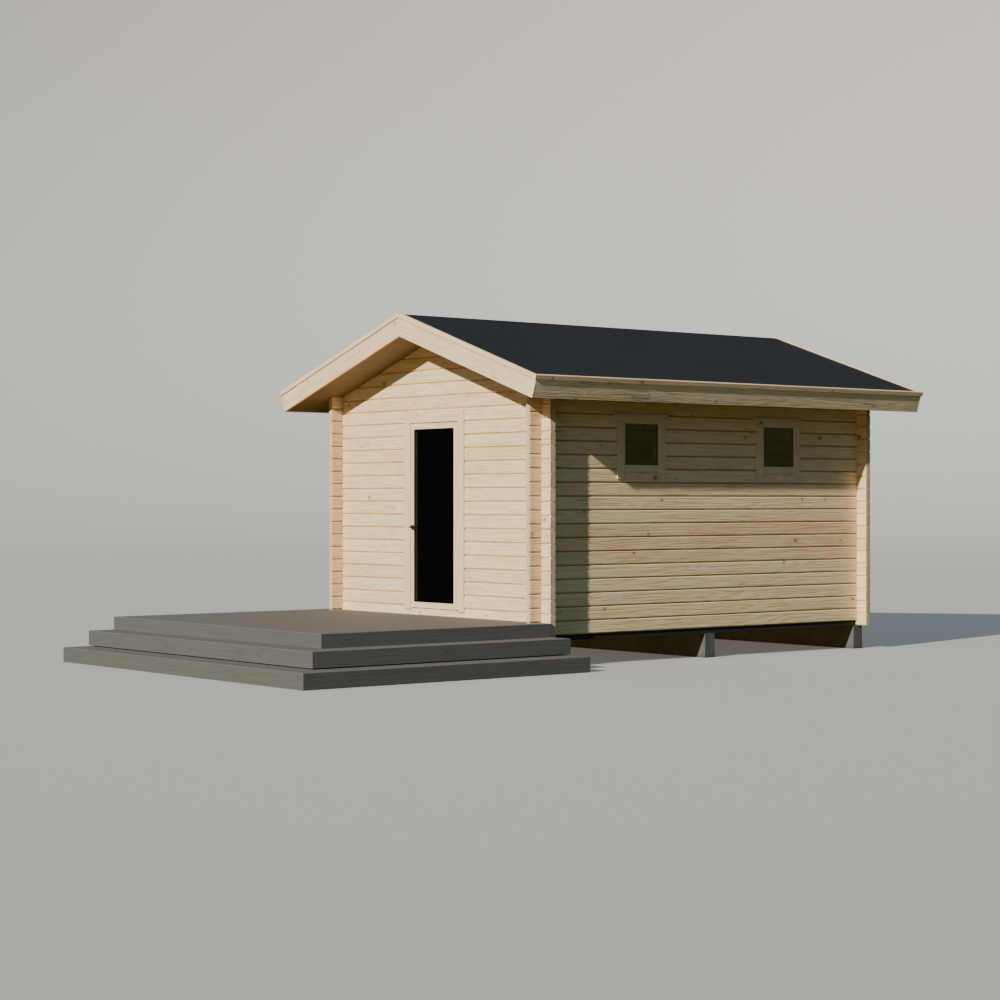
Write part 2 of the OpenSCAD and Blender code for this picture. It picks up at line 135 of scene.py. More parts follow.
floor_reach, sweep, upright = 46.0, 26.0, 9.0
sweep_steps, round_steps = 8, 96
bm = bmesh.new()
profile = [bm.verts.new((0, 0, 0)), bm.verts.new((floor_reach, 0, 0))]
for step in range(1, sweep_steps + 1):
    angle = math.radians(90) * step / sweep_steps
    out, up = sweep * math.sin(angle), sweep * (1 - math.cos(angle))
    profile.append(bm.verts.new((floor_reach + out, 0, up)))
profile.append(bm.verts.new((floor_reach + sweep, 0, sweep + upright)))
spun_round(bm, profile, round_steps)
bmesh.ops.remove_doubles(bm, verts=bm.verts, dist=0.001)
bmesh.ops.recalc_face_normals(bm, faces=bm.faces)
bmesh.ops.reverse_faces(bm, faces=bm.faces)
for face in bm.faces:
    face.smooth = True
studio = bpy.data.objects.new("studio_floor", bpy.data.meshes.new("studio_floor"))
bm.to_mesh(studio.data)
bm.free()
bpy.context.scene.collection.objects.link(studio)
backdrop, tree, surface = finish(
    "backdrop",
    Base_Color=(0.38, 0.375, 0.36, 1),
    Roughness=0.9,
    Emission_Color=(1.0, 0.97, 0.93, 1),
    Emission_Strength=0.11,
)
studio.data.materials.append(backdrop)
studio.visible_shadow = False
studio.visible_diffuse = False
studio.visible_glossy = False

key = bpy.data.objects.new("key_light", bpy.data.lights.new("key_light", "SUN"))
bpy.context.scene.collection.objects.link(key)
key.data.energy = 6.6
key.data.angle = math.radians(1.0)
key.data.color = (1.0, 0.93, 0.82)
towards_key = Vector((0.829, -3.395, 1.756))
key.rotation_euler = towards_key.to_track_quat("Z", "Y").to_euler()

world = bpy.data.worlds.new("studio_air")
bpy.context.scene.world = world
world.use_nodes = True
tree = world.node_tree
aim = shade(tree, "SeparateXYZ", shade(tree, "TexCoord").outputs["Generated"]).outputs
low_air, high_air = (0.054, 0.056, 0.014, 1), (0.130, 0.222, 0.290, 1)
warm_ground = (0.66, 0.46, 0.16, 1)
air = mix(tree, ramp(tree, aim[2], -0.25, 0.35), low_air, high_air)
below = ramp(tree, aim[2], -0.35, 0.0, 1.0, 0.0)
in_front = ramp(tree, aim[1], -0.9, -0.3, 1.0, 0.0)
air = mix(tree, times(tree, below, in_front), air, warm_ground)
feed(tree, tree.nodes["Background"].inputs[0], air)


# Foundation: three cast concrete strips across the cabin. Their edges are knocked round, and
# their faces are clouded and sandy with small air holes, and damp near the ground.
def plus(tree, a, b):
    """The sum of two values."""
    return calc(tree, "ADD", a, b)


def own_place(tree):
    """Where a point is on its piece."""
    return shade(tree, "TexCoord").outputs["Object"]


def noise(tree, place, scale, detail=2.0, roughness=0.5):
    """A noise value at a place."""
    return shade(tree, "TexNoise", place, None, scale, detail, roughness).outputs[0]


def relief(tree, surface, height, strength, depth):
    """A bump made from a height, and led to the shader's normal."""
    bump = shade(tree, "Bump", strength, depth)
    lead(tree, bump.inputs, Height=height)
    lead(tree, surface.inputs, Normal=bump.outputs[0])


def merged(node, cuts=()):
    """A node's own shape as clean faces, split where the cuts say."""
    bm = bmesh.new()
    bm.from_mesh(nodes[node].data)
    bmesh.ops.remove_doubles(bm, verts=bm.verts, dist=0.00002)
    bmesh.ops.dissolve_limit(bm, angle_limit=math.radians(0.5), verts=bm.verts, edges=bm.edges)
    for point, normal in cuts:
        geometry = bm.verts[:] + bm.edges[:] + bm.faces[:]
        bmesh.ops.bisect_plane(bm, geom=geometry, dist=0.00002, plane_co=point, plane_no=normal)
    return bm


def eased(bm, edges, width, **settings):
    """Rounds the edges given, and returns the faces that this makes."""
    made = bmesh.ops.bevel(
        bm,
        geom=edges,
        offset=width,
        offset_type="OFFSET",
        affect="EDGES",
        segments=2,
        profile=0.5,
        material=-1,
        **settings,
    )
    return made["faces"]


def ease_edges(bm, width, crease=25, shortest=0.02):
    """Rounds the sharp edges, and marks the faces that this makes."""
    worn = bm.faces.layers.float.new("worn")
    sharp = [
        edge
        for edge in bm.edges
        if len(edge.link_faces) == 2
        and edge.calc_length() > shortest
        and edge.calc_face_angle(0) > math.radians(crease)
    ]
    for face in eased(bm, sharp, width, clamp_overlap=False):
        face[worn] = 1.0


def place(name, bm, material, body, slot, *stands_for):
    """Makes the piece, and says what it rides on and the nodes that it stands for; slot is not used.
    """
    piece = bpy.data.objects.new(name, bpy.data.meshes.new(name))
    bm.to_mesh(piece.data)
    bm.free()
    piece.data.materials.append(material)
    bpy.context.scene.collection.objects.link(piece)
    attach(piece, body)
    if stands_for:
        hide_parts(*stands_for)
    return piece


concrete, tree, surface = finish("concrete", Roughness=0.85)
at = own_place(tree)
cloud = noise(tree, at, 5.0, 5.0, 0.6)
sand = noise(tree, at, 240.0, 3.0, 0.7)
holes = shade(tree, "TexVoronoi", at, None, 45.0).outputs["Distance"]
pits = ramp(tree, holes, 0.10, 0.20, 0.0, 1.0)
tone = mix(tree, ramp(tree, cloud, 0.35, 0.65), (0.072, 0.072, 0.068, 1), (0.115, 0.115, 0.108, 1))
tone = mix(tree, ramp(tree, sand, 0.3, 0.7, 0.0, 0.35), tone, (0.058, 0.058, 0.054, 1))
height = shade(tree, "SeparateXYZ", at).outputs[2]
uneven_height = plus(tree, height, times(tree, cloud, 0.05))
damp = ramp(tree, uneven_height, 0.02, 0.09, 0.55, 0.0)
tone = mix(tree, damp, tone, (0.045, 0.045, 0.041, 1))
lead(tree, surface.inputs, Base_Color=tone)
relief(tree, surface, plus(tree, times(tree, sand, 0.4), pits), 0.5, 0.002)

bm = merged("foundation_strips")
ease_edges(bm, 0.004)
place("foundation_concrete", bm, concrete, "cabin", "concrete", "foundation_strips")


# Bearers and floor joists: sawn softwood laid on edge, the bearers coloured near black, which is
# painted shade for the deep shade under the walls. The fibres run along each timber, and an
# attribute carries them with the piece.
def lay_fibres(face, layer, along, across, number):
    """Writes a face's fibre coordinates: x along the fibres, z over the timber's broad face."""
    through = across.cross(along)
    shift = Vector((1.371 * number, 0.713 * number, 2.137 * number))
    for loop in face.loops:
        spot = loop.vert.co
        loop[layer] = Vector((spot.dot(along), spot.dot(through), spot.dot(across))) + shift


def fibres(bm, rule):
    """Lays the fibres of every face, by a rule that reads the face's middle."""
    layer = bm.loops.layers.float_vector.new("fibre")
    for face in bm.faces:
        lay_fibres(face, layer, *rule(face.calc_center_median()))


def worked(name, node, material, rule, ease=0.002, slot="board_wood", cuts=()):
    """A node's timbers with eased edges and their fibres, placed as one fixed piece."""
    bm = merged(node, cuts)
    ease_edges(bm, ease)
    fibres(bm, rule)
    place(name, bm, material, "cabin", slot, node)


X, Y, Z = Vector((1, 0, 0)), Vector((0, 1, 0)), Vector((0, 0, 1))


def minus(tree, a, b):
    """The difference of two values."""
    return calc(tree, "SUBTRACT", a, b)


def drawn_out(group, fibre, scales):
    """Fibre coordinates scaled along and across, which draws a noise out along the fibres."""
    return shade(group, "VectorMath", fibre, scales, operation="MULTIPLY").outputs[0]


def new_group(name, inputs, outputs):
    """A node group with sockets named by kind, and its input and output nodes' sockets."""
    group = bpy.data.node_groups.new(name, "ShaderNodeTree")
    for in_out, kinds in (("INPUT", inputs), ("OUTPUT", outputs)):
        for kind, labels in kinds.items():
            for label in labels:
                group.interface.new_socket(label, in_out=in_out, socket_type="NodeSocket" + kind)
    given = group.nodes.new("NodeGroupInput").outputs
    return group, given, group.nodes.new("NodeGroupOutput").inputs


def pine_group():
    """Node group: the figure of planed pine, with growth rings that flow round the knots."""
    woods = ("Early wood", "Late wood", "Knot wood")
    group, given, back = new_group(
        "pine figure",
        {"Vector": ("Fibre",), "Float": ("Rings", "Knots", "Streaks"), "Color": woods},
        {"Color": ("Color",), "Float": ("Height", "Roughness")},
    )
    axis = shade(group, "SeparateXYZ", given["Fibre"]).outputs

    # Knots: one place a cell, 0.42 m long and 0.15 m wide, some of them left empty.
    cell_long, cell_wide = 0.42, 0.15
    cell_x = calc(group, "DIVIDE", axis[0], cell_long)
    cell_y = calc(group, "DIVIDE", axis[2], cell_wide)
    cell = shade(group, "CombineXYZ", cell_x, cell_y).outputs[0]
    spots = shade(group, "TexVoronoi", cell, None, 1.0, voronoi_dimensions="2D").outputs
    away = shade(group, "VectorMath", cell, spots["Position"], operation="SUBTRACT").outputs[0]
    reach = shade(group, "SeparateXYZ", away).outputs
    luck = shade(group, "SeparateColor", spots["Color"]).outputs
    stretch = ramp(group, luck[2], 0.0, 1.0, cell_long * 0.5, cell_long * 1.5)
    span = times(group, reach[0], stretch)
    rise = times(group, reach[1], cell_wide)
    squares = plus(group, calc(group, "POWER", span, 2.0), calc(group, "POWER", rise, 2.0))
    far = calc(group, "SQRT", squares)
    there = calc(group, "LESS_THAN", luck[1], given["Knots"])
    size = ramp(group, calc(group, "POWER", luck[0], 2.0), 0.0, 1.0, 0.004, 0.019)
    uneven = ramp(group, noise(group, given["Fibre"], 70.0, 2.0), 0.25, 0.75, 0.65, 1.45)
    share = times(group, calc(group, "DIVIDE", far, size), uneven)
    core = times(group, ramp(group, share, 0.75, 1.0, 1.0, 0.0), there)
    halo = times(group, ramp(group, share, 1.0, 3.2, 1.0, 0.0), there)

    # Growth rings: contour lines of a slow noise drawn out along the fibres and lifted at knots.
    slow = drawn_out(group, given["Fibre"], (0.55, 6.5, 6.5))
    swell = plus(group, noise(group, slow, 1.0, 2.0, 0.45), times(group, halo, 0.16))
    ring = calc(group, "FRACT", times(group, swell, given["Rings"]))
    late = times(group, ramp(group, ring, 0.30, 0.90), ramp(group, ring, 0.93, 1.0, 1.0, 0.0))

    # Streaks: finer and coarser fibres, and slow clouds of warmer wood.
    fine = drawn_out(group, given["Fibre"], (3.5, 230.0, 230.0))
    broad = drawn_out(group, given["Fibre"], (1.5, 52.0, 52.0))
    hair = noise(group, fine, 1.0, 2.0, 0.6)
    band = noise(group, broad, 1.0, 2.0, 0.55)
    cloud = noise(group, given["Fibre"], 1.7, 2.0, 0.5)
    lines = times(group, ramp(group, band, 0.49, 0.64), given["Streaks"])
    depth = plus(group, times(group, late, 0.42), times(group, lines, 0.20))
    depth = plus(group, depth, times(group, ramp(group, hair, 0.35, 0.75), 0.16))
    depth = plus(group, depth, times(group, halo, 0.35))
    depth = plus(group, depth, ramp(group, cloud, 0.35, 0.70, -0.06, 0.14))
    wood = mix(group, depth, given["Early wood"], given["Late wood"])
    from_rim = calc(group, "ABSOLUTE", minus(group, share, 0.92))
    ridge = times(group, ramp(group, from_rim, 0.0, 0.22, 1.0, 0.0), there)
    wood = mix(group, times(group, core, 0.75), wood, given["Knot wood"])
    wood = mix(group, times(group, ridge, 0.6), wood, (0.10, 0.045, 0.02, 1))
    level = minus(group, times(group, hair, 0.35), times(group, late, 0.45))
    level = minus(group, level, times(group, lines, 0.9))
    level = plus(group, level, times(group, halo, 0.8))
    level = minus(group, level, times(group, ridge, 0.9))
    gloss = ramp(group, depth, 0.0, 1.0, 0.62, 0.50)
    lead(group, back, Color=wood, Height=level, Roughness=gloss)
    return group


def checks_group():
    """Node group: fine drying cracks along the fibres, as a mask."""
    group, given, back = new_group(
        "drying checks", {"Vector": ("Fibre",), "Float": ("Share",)}, {"Float": ("Mask",)}
    )
    thin = drawn_out(group, given["Fibre"], (1.6, 75.0, 75.0))
    patch = drawn_out(group, given["Fibre"], (1.1, 5.0, 5.0))
    line = calc(group, "ABSOLUTE", minus(group, noise(group, thin, 1.0, 1.0, 0.4), 0.5))
    crack = ramp(group, line, 0.0, 0.022, 1.0, 0.0)
    where = calc(group, "LESS_THAN", noise(group, patch, 1.0, 1.0, 0.5), given["Share"])
    lead(group, back, Mask=times(group, crack, where))
    return group


def wear_group():
    """Node group: paler wood where an edge is worn."""
    group, given, back = new_group(
        "edge wear",
        {"Color": ("Wood", "Worn wood"), "Float": ("Edge", "Share")},
        {"Color": ("Color",)},
    )
    amount = times(group, given["Edge"], given["Share"])
    lead(group, back, Color=mix(group, amount, given["Wood"], given["Worn wood"]))
    return group


pine_figure, drying_checks, edge_wear = pine_group(), checks_group(), wear_group()


def use(tree, group, **values):
    """A node group placed in a material with its own values."""
    made = shade(tree, "Group", node_tree=group)
    lead(tree, made.inputs, **values)
    return made.outputs


def timber(
    name, early, late, knot, rings=13.0, knots=0.5, streaks=1.0, checks=0.0,
    bump=0.35, depth=0.0015, worn=0.25, rough=0.0,
):
    """A timber finish on fibres that the piece carries."""
    material, tree, surface = finish(name)
    along = shade(tree, "Attribute", attribute_name="fibre").outputs["Vector"]
    edge = shade(tree, "Attribute", attribute_name="worn").outputs["Fac"]
    figure = use(
        tree, pine_figure, Fibre=along, Rings=rings, Knots=knots, Streaks=streaks,
        Early_wood=early, Late_wood=late, Knot_wood=knot,
    )
    crack = use(tree, drying_checks, Fibre=along, Share=checks)["Mask"]
    pale = tuple(min(1.0, 1.25 * part + 0.04) for part in early[:3]) + (1,)
    deep = tuple(0.25 * part for part in late[:3]) + (1,)
    worn_wood = use(tree, edge_wear, Wood=figure["Color"], Worn_wood=pale, Edge=edge, Share=worn)
    colour = mix(tree, times(tree, crack, 0.7), worn_wood["Color"], deep)
    dull = plus(tree, figure["Roughness"], rough)
    lead(tree, surface.inputs, Base_Color=colour, Roughness=dull)
    relief(tree, surface, minus(tree, figure["Height"], crack), bump, depth)
    return material


# Painted shade: the bearers are coloured near black, as dark as the shade under the bottom logs.
shade_black = timber(
    "stained bearer", (0.011, 0.014, 0.012, 1), (0.006, 0.007, 0.006, 1), (0.004, 0.004, 0.003, 1),
    checks=0.4, rough=0.25,
)
sawn = timber(
    "sawn spruce", (0.60, 0.44, 0.27, 1), (0.40, 0.25, 0.12, 1), (0.20, 0.10, 0.05, 1),
    checks=0.35, bump=0.6, rough=0.15,
)

worked(
    "side_bearer_timbers", "side_bearers", shade_black,
    lambda centre: (Y, Z, 1 if centre.x > 0 else 2), slot="bearer_wood",
)
worked(
    "floor_joist_timbers", "floor_joists", sawn,
    lambda centre: (Y, Z, round(centre.x / 0.3)), slot="roof_timber",
)


# Floor: tongued and grooved spruce boards nailed across the joists, each with a small bevel at
# its joints.
def plank(bm, low, high, ease, along=X, across=Y, number=0):
    """Adds one board with eased edges between two corners, with its own stretch of fibres."""
    fibre = bm.loops.layers.float_vector.get("fibre") or bm.loops.layers.float_vector.new("fibre")
    worn = bm.faces.layers.float.get("worn") or bm.faces.layers.float.new("worn")
    low, high = Vector(low), Vector(high)
    before = set(bm.faces)
    spread = Matrix.Diagonal((*(high - low), 1))
    made = bmesh.ops.create_cube(bm, size=1, matrix=Matrix.Translation((low + high) / 2) @ spread)
    sides = list({edge for vert in made["verts"] for edge in vert.link_edges})
    for face in eased(bm, sides, ease):
        face[worn] = 1.0
    for face in bm.faces:
        if face not in before:
            lay_fibres(face, fibre, along, across, number)


def rows(start, end, pitch):
    """Board edges from start to end, as even rows close to the pitch."""
    count = max(1, round((end - start) / pitch))
    edges = [start + (end - start) * i / count for i in range(count + 1)]
    return list(zip(edges, edges[1:]))


planed = timber(
    "planed spruce", (0.74, 0.55, 0.35, 1), (0.52, 0.32, 0.16, 1), (0.24, 0.11, 0.05, 1),
    rings=15.0, knots=0.4,
)
low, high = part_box("floor_boards")
floor_pitch, floor_bevel, hair_gap = 0.12, 0.0015, 0.0004
bm = bmesh.new()
for i, (y0, y1) in enumerate(rows(low.y, high.y, floor_pitch)):
    start, end = (low.x, y0 + hair_gap, low.z), (high.x, y1 - hair_gap, high.z)
    plank(bm, start, end, floor_bevel, X, Y, i + 1)
place("floor_boarding", bm, planed, "cabin", "board_wood", "floor_boards")


# Log walls: planed pine logs laid in courses, crossed and notched at the corners. Every log
# has its own tone and figure, a dark line of painted shade marks each joint, and the ends
# show their rings.
log_height, log_depth = 0.145, 0.070
front_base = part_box("front_wall_base")[0].z
side_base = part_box("side_wall_right")[0].z
early, late_wood = (0.85, 0.655, 0.402, 1), (0.67, 0.445, 0.223, 1)
knot_wood = (0.25, 0.115, 0.045, 1)


def end_group():
    """Node group: sawn ends, with growth rings round a pith at one side and fine radial checks."""
    group, given, back = new_group(
        "sawn end", {"Float": ("Across", "Up", "Number")}, {"Float": ("Rings", "Checks")}
    )
    luck = shade(group, "TexWhiteNoise", None, given["Number"], noise_dimensions="1D").outputs
    each = shade(group, "SeparateColor", luck["Color"]).outputs
    across = plus(group, given["Across"], ramp(group, each[0], 0.0, 1.0, -0.075, 0.075))
    up = plus(group, given["Up"], ramp(group, each[1], 0.0, 1.0, -0.045, 0.045))
    layer = times(group, given["Number"], 0.37)
    spot = shade(group, "CombineXYZ", across, up, layer).outputs[0]
    from_pith = shade(group, "CombineXYZ", across, up).outputs[0]
    reach = shade(group, "VectorMath", from_pith, operation="LENGTH")
    uneven = times(group, noise(group, spot, 28.0, 2.0), 1.6)
    rings_out = times(group, reach.outputs["Value"], 210.0)
    turn = calc(group, "FRACT", plus(group, rings_out, uneven))
    late = times(group, ramp(group, turn, 0.35, 0.85), ramp(group, turn, 0.9, 1.0, 1.0, 0.0))
    bearing = times(group, calc(group, "ARCTAN2", up, across), 9.0)
    ray = plus(group, bearing, times(group, noise(group, spot, 45.0, 2.0), 0.35))
    rays = noise(group, shade(group, "CombineXYZ", ray, given["Number"]).outputs[0], 1.6, 1.0)
    split = ramp(group, calc(group, "ABSOLUTE", minus(group, rays, 0.5)), 0.0, 0.03, 1.0, 0.0)
    lead(group, back, Rings=late, Checks=split)
    return group


sawn_ends = end_group()


def log_finish(name, base, lengthwise, middle, seed, line, drop):
    """Planed log pine, in courses that start at a level, with fibres along X or Y."""
    material, tree, surface = finish(name)
    at = own_place(tree)
    axis = shade(tree, "SeparateXYZ", at).outputs
    along, through = (axis[0], axis[1]) if lengthwise == "x" else (axis[1], axis[0])
    rise = calc(tree, "DIVIDE", minus(tree, axis[2], base), log_height)
    course = calc(tree, "FLOOR", rise)
    wall = calc(tree, "SIGN", through)
    golden = 1.618
    number = plus(tree, times(tree, course, golden), times(tree, wall, seed))
    shifts = zip((along, through, axis[2]), (3.7, 1.3, 2.9))
    moved = [plus(tree, part, times(tree, number, shift)) for part, shift in shifts]
    fibre = shade(tree, "CombineXYZ", *moved).outputs[0]
    figure = use(
        tree, pine_figure, Fibre=fibre, Rings=12.0, Knots=0.24, Streaks=1.0,
        Early_wood=early, Late_wood=late_wood, Knot_wood=knot_wood,
    )
    crack = use(tree, drying_checks, Fibre=fibre, Share=0.34)["Mask"]
    luck = shade(tree, "TexWhiteNoise", None, number, noise_dimensions="1D").outputs
    each = shade(tree, "SeparateColor", luck["Color"]).outputs
    colour = shade(
        tree,
        "HueSaturation",
        ramp(tree, each[0], 0.0, 1.0, 0.497, 0.503),
        ramp(tree, each[1], 0.0, 1.0, 0.96, 1.06),
        ramp(tree, each[2], 0.0, 1.0, 0.95, 1.04),
        1.0,
        figure["Color"],
    ).outputs[0]
    edge = shade(tree, "Attribute", attribute_name="worn").outputs["Fac"]
    pale = (0.90, 0.76, 0.58, 1)
    colour = use(tree, edge_wear, Wood=colour, Worn_wood=pale, Edge=edge, Share=0.25)["Color"]

    # The joint is a fine dark line at the foot of each log, painted shade for the shade in the V
    # joint; it is wider on the long logs, and fainter on the sawn ends.
    facing = shade(tree, "SeparateXYZ", shade(tree, "NewGeometry").outputs["True Normal"]).outputs
    end_on = calc(tree, "ABSOLUTE", facing[0] if lengthwise == "x" else facing[1])
    sawn_end = calc(tree, "GREATER_THAN", end_on, 0.9)
    within = calc(tree, "FRACT", plus(tree, rise, 0.5 + drop))
    beside = calc(tree, "ABSOLUTE", minus(tree, within, 0.5))
    joint_shade = ramp(tree, beside, line * 0.25, line, 1.0, 0.0)
    off_ends = minus(tree, 1.0, times(tree, sawn_end, 0.8))
    joint_shade = times(tree, joint_shade, off_ends)
    off_middle = minus(tree, calc(tree, "ABSOLUTE", through), middle)
    up_log = minus(tree, calc(tree, "FRACT", rise), 0.5)
    end_rise = times(tree, up_log, log_height)
    end = use(tree, sawn_ends, Across=off_middle, Up=end_rise, Number=number)
    ringed = mix(tree, end["Rings"], (0.74, 0.56, 0.36, 1), (0.52, 0.34, 0.19, 1))
    ringed = mix(tree, times(tree, end["Checks"], 0.5), ringed, (0.24, 0.13, 0.07, 1))
    lamella = calc(tree, "GREATER_THAN", off_middle, 0.004)
    ringed = mix(tree, times(tree, lamella, 0.22), ringed, (0.30, 0.19, 0.11, 1))
    colour = mix(tree, times(tree, crack, 0.4), colour, (0.20, 0.10, 0.05, 1))
    colour = mix(tree, sawn_end, colour, ringed)
    colour = mix(tree, times(tree, joint_shade, 0.85), colour, (0.16, 0.075, 0.03, 1))
    side_level = minus(tree, figure["Height"], crack)
    end_level = times(tree, plus(tree, end["Rings"], end["Checks"]), -0.3)
    level = shade(tree, "Mix", sawn_end, None, side_level, end_level, data_type="FLOAT").outputs[0]
    dull = plus(tree, figure["Roughness"], times(tree, sawn_end, 0.2))
    lead(tree, surface.inputs, Base_Color=colour, Roughness=dull)
    relief(tree, surface, level, 0.7, 0.003)
    return material


front_middle = abs(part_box("front_wall_base")[0].y) - log_depth / 2
side_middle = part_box("side_wall_right")[1].x - log_depth / 2
cross_logs = log_finish("cross log pine", front_base, "x", front_middle, 5.3, 0.018, 0.0)
long_logs = log_finish("long log pine", side_base, "y", side_middle, 9.1, 0.042, 0.012)
log_ease, end_trim, ends_past = 0.0015, 0.008, 0.149
wall_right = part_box("side_wall_right")[1].x
for node, wood in (
    ("front_wall_base", cross_logs),
    ("front_wall_left", cross_logs),
    ("front_wall_right", cross_logs),
    ("front_wall_gable", cross_logs),
    ("back_wall", cross_logs),
    ("side_wall_left", long_logs),
    ("side_wall_right", long_logs),
):
    bm = merged(node)
    if wood is cross_logs:
        for vert in bm.verts:
            if abs(vert.co.x) > wall_right + ends_past:
                vert.co.x -= math.copysign(end_trim, vert.co.x)
    ease_edges(bm, log_ease)
    place(node + "_logs", bm, wood, "cabin", "log_wood", node)


# Door frame and casings: planed pine jambs, head and sill with a rebate for the leaf, and flat
# casing boards nailed over the gap to the logs.
joinery = timber(
    "joinery pine", (0.775, 0.60, 0.385, 1), (0.62, 0.42, 0.225, 1), (0.28, 0.14, 0.07, 1),
    rings=9.0, knots=0.12, streaks=0.7, bump=0.25, worn=0.3,
)


def nails(bm, places, axis, radius=0.003, proud=0.0006):
    """Adds flat nail heads at the places, facing along the axis."""
    turn = axis.to_track_quat("Z", "Y").to_matrix().to_4x4()
    for spot in places:
        where = Matrix.Translation(Vector(spot) + axis * proud / 2) @ turn
        bmesh.ops.create_cone(
            bm,
            cap_ends=True,
            segments=10,
            radius1=radius,
            radius2=radius * 0.7,
            depth=proud * 3,
            matrix=where,
        )


steel, tree, surface = finish("nail steel", Metallic=1.0, Roughness=0.45)
at = own_place(tree)
tone = mix(tree, noise(tree, at, 60.0, 2.0), (0.34, 0.33, 0.31, 1), (0.55, 0.54, 0.52, 1))
lead(tree, surface.inputs, Base_Color=tone)

jamb, stop = 0.036, 0.015
low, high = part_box("door_frame")
cuts = [((low.x + jamb + stop, 0, 0), X), ((high.x - jamb - stop, 0, 0), X)]


def upright_or_level(low, high, width):
    """A rule for a frame: its outer uprights run up, and its head and sill run across."""

    def rule(centre):
        if centre.x < low.x + width:
            return Z, X, 3
        if centre.x > high.x - width:
            return Z, X, 4
        return X, Z, 5 if centre.z > (low.z + high.z) / 2 else 6

    return rule


frame_rule = upright_or_level(low, high, jamb + stop)
worked("door_frame_timber", "door_frame", joinery, frame_rule, ease=0.0015, cuts=cuts)
worked(
    "door_casing_side_boards", "door_casing_sides", joinery,
    lambda centre: (Z, X, 11 if centre.x > 0 else 12),
)
worked("door_casing_head_board", "door_casing_head", joinery, lambda centre: (X, Z, 13))

side_low, side_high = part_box("door_casing_sides")
head_low, head_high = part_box("door_casing_head")
casing, nail_in = 0.104, 0.022
side_nail_end, head_nail_end, head_nail_in = 0.06, 0.04, 0.025
bm = bmesh.new()
for side in (-1, 1):
    middle = side * (side_high.x - casing / 2)
    run = side_high.z - side_low.z - 2 * side_nail_end
    heights = [side_low.z + side_nail_end + i * run / 4 for i in range(5)]
    for x in (middle - casing / 2 + nail_in, middle + casing / 2 - nail_in):
        nails(bm, [(x, side_low.y, z) for z in heights], -Y)
run = head_high.x - head_low.x - 2 * head_nail_end
for z in (head_low.z + head_nail_in, head_high.z - head_nail_in):
    nails(bm, [(head_low.x + head_nail_end + i * run / 3, head_low.y, z) for i in range(4)], -Y)
place("door_casing_nails", bm, steel, "cabin", "pivot_steel")


# Door leaf: two stiles and two rails of planed pine round one large pane. The pane lies in a
# rebate in the outer face, bedded on a black seal, and slim beads line the room side.
stile = 0.073
low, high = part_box("door_leaf")
leaf_low, leaf_high = low.copy(), high.copy()
bm = merged("door_leaf", [((low.x + stile, 0, 0), X), ((high.x - stile, 0, 0), X)])
ease_edges(bm, 0.0012, shortest=0.04)
fibres(bm, upright_or_level(low, high, stile))
place("door_leaf_timber", bm, joinery, "door", "board_wood", "door_leaf")

bead, bead_thick, bead_ease, bead_clear = 0.012, 0.014, 0.002, 0.0002
seal, door_seal, seal_ease, pane_ease = 0.0012, 0.023, 0.0003, 0.0008
glass_low, glass_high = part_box("door_glass")
x0, x1 = low.x + stile, high.x - stile
z0, z1 = low.z + stile, high.z - stile
bm = bmesh.new()
front, back = glass_high.y + bead_clear, glass_high.y + bead_thick
plank(bm, (x0, front, z0), (x0 + bead, back, z1), bead_ease, Z, X, 21)
plank(bm, (x1 - bead, front, z0), (x1, back, z1), bead_ease, Z, X, 22)
plank(bm, (x0 + bead, front, z0), (x1 - bead, back, z0 + bead), bead_ease, X, Z, 23)
plank(bm, (x0 + bead, front, z1 - bead), (x1 - bead, back, z1), bead_ease, X, Z, 24)
place("door_glazing_beads", bm, joinery, "door", "board_wood")

rubber, tree, surface = finish("glazing seal", Roughness=0.7)
at = own_place(tree)
tone = mix(tree, noise(tree, at, 40.0, 3.0), (0.006, 0.006, 0.006, 1), (0.016, 0.016, 0.015, 1))
lead(tree, surface.inputs, Base_Color=tone)


def frame_ring(bm, low, high, width, along, across, thick_low, thick_high):
    """Adds a flat ring of four strips, between two corners of the pane's plane."""
    through = along.cross(across)
    for a0, a1, c0, c1 in (
        (low[0], low[0] + width, low[1], high[1]),
        (high[0] - width, high[0], low[1], high[1]),
        (low[0] + width, high[0] - width, low[1], low[1] + width),
        (low[0] + width, high[0] - width, high[1] - width, high[1]),
    ):
        start = along * a0 + across * c0 + through * thick_low
        end = along * a1 + across * c1 + through * thick_high
        corners = [Vector(map(min, start, end)), Vector(map(max, start, end))]
        plank(bm, corners[0], corners[1], seal_ease, along, across)


bm = bmesh.new()
pane_corners = (glass_low.x, glass_low.z), (glass_high.x, glass_high.z)
frame_ring(bm, *pane_corners, door_seal, X, Z, -glass_high.y, -glass_high.y + seal)
place("door_glazing_seal", bm, rubber, "door", "black_metal")


def dust_group():
    """Node group: a trace of dust on glass."""
    group, given, back = new_group(
        "glass dust",
        {"Vector": ("Place",), "Color": ("Tint", "Dusty tint")},
        {"Color": ("Color",), "Float": ("Roughness",)},
    )
    dust = noise(group, given["Place"], 3.0, 4.0, 0.6)
    colour = mix(group, ramp(group, dust, 0.3, 0.8), given["Tint"], given["Dusty tint"])
    lead(group, back, Color=colour, Roughness=ramp(group, dust, 0.3, 0.8, 0.0, 0.03))
    return group


glass_dust = dust_group()


def pane_finish(name, tint, index, gleam):
    """Float glass with a tint, a gleam that colours its reflections, and a trace of dust."""
    material, tree, surface = finish(
        name, Transmission_Weight=1.0, IOR=index, Specular_IOR_Level=0.03, Specular_Tint=gleam
    )
    dusty = tuple(0.9 * part for part in tint[:3]) + (1,)
    film = use(tree, glass_dust, Place=own_place(tree), Tint=tint, Dusty_tint=dusty)
    lead(tree, surface.inputs, Base_Color=film["Color"], Roughness=film["Roughness"])
    return material
